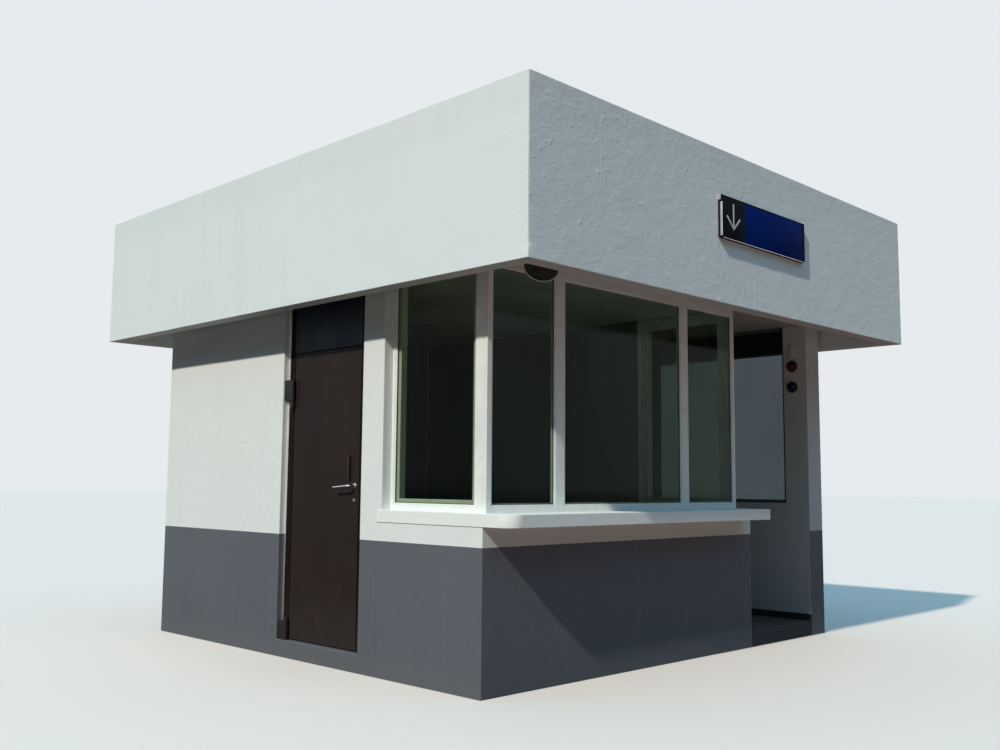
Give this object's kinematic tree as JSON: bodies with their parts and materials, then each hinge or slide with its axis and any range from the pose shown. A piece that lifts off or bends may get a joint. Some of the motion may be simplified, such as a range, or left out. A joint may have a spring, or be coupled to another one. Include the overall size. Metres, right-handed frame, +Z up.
{
  "type": "security guard booth",
  "caption": "Glazed guard booth with a serving counter, a hinged door, a covered passage beside it and a deep overhanging white parapet roof.",
  "frame": {"origin": "centre of the bounding box's footprint, on the ground", "axes": "+X along the serving counter from the door side to the passage, +Y from the counter to the rear wall, +Z up"},
  "size_m": [4.75, 5.185, 3.58],
  "materials": {
    "concrete_floor": "plain grey concrete, worn",
    "dark_skirting": "dark tile, satin",
    "grey_dado": "grey masonry paint, matt",
    "white_render": "white painted render, matt",
    "soffit_render": "off-white painted concrete, matt",
    "fascia_white": "white trowelled render, matt",
    "counter_white": "white slab, satin",
    "frame_white": "white profile, satin",
    "frame_grey": "dark grey coating, satin",
    "green_glass": "dark green tinted glass, clear",
    "door_brown": "dark brown paint, satin",
    "hinge_grey": "dark grey paint, satin",
    "satin_steel": "satin steel",
    "sign_metal": "bright aluminium",
    "sign_black": "black, glossy",
    "sign_blue": "blue, glossy",
    "sign_grey": "light grey film",
    "smoked_dome": "dark brown lamp with a pale rim, glossy",
    "red_lens": "dark red lens, glossy",
    "blue_lens": "dark blue lens, glossy",
    "beige_housing": "beige housing, satin"
  },
  "bodies": {
    "booth": {"cabin_floor": "concrete_floor", "passage_floor": "concrete_floor", "door_threshold": "concrete_floor", "passage_skirting": "dark_skirting", "front_dado": "grey_dado", "left_dado": "grey_dado", "rear_dado": "grey_dado", "right_dado": "grey_dado", "front_sill_band": "white_render", "side_sill_bands": "white_render", "left_pier": "white_render", "left_wall_rear": "white_render", "rear_wall": "white_render", "right_wall": "white_render", "end_wall_base": "white_render", "end_wall_front_pier": "white_render", "end_wall_rear": "white_render", "roof_slab": "soffit_render", "fascia_front": "fascia_white", "fascia_left": "fascia_white", "fascia_right": "fascia_white", "fascia_rear": "fascia_white", "counter_slab": "counter_white", "corner_posts": "frame_white", "front_window_frame": "frame_white", "side_window_frames": "frame_white", "end_window_frame": "frame_grey", "front_panes": "green_glass", "side_panes": "green_glass", "end_pane": "green_glass", "door_frame": "door_brown", "transom_pane": "door_brown", "hinge_blocks": "hinge_grey", "sign_box": "sign_metal", "sign_arrow_field": "sign_black", "sign_blank_field": "sign_blue", "sign_arrow": "sign_grey", "dome_lamp": "smoked_dome", "signal_lamp_red": "red_lens", "signal_lamp_blue": "blue_lens", "bulkhead_light": "beige_housing"},
    "door": {"door_leaf": "door_brown", "hinge_knuckles": "hinge_grey", "door_furniture": "satin_steel"},
    "lever": {"door_lever": "satin_steel"}
  },
  "joints": [
    {"name": "door_hinge", "type": "hinge", "parent": "booth", "child": "door", "pos_m": [-2.042, 0.1705, 1.17], "axis": [0, 0, -1], "range_deg": [0, 95]},
    {"name": "lever_turn", "type": "hinge", "parent": "door", "child": "lever", "pos_m": [-2.02, -0.5885, 1.245], "axis": [-1, 0, 0], "range_deg": [0, 40], "stiffness_Nm_per_rad": 2.5, "springref_deg": -34.38}
  ]
}
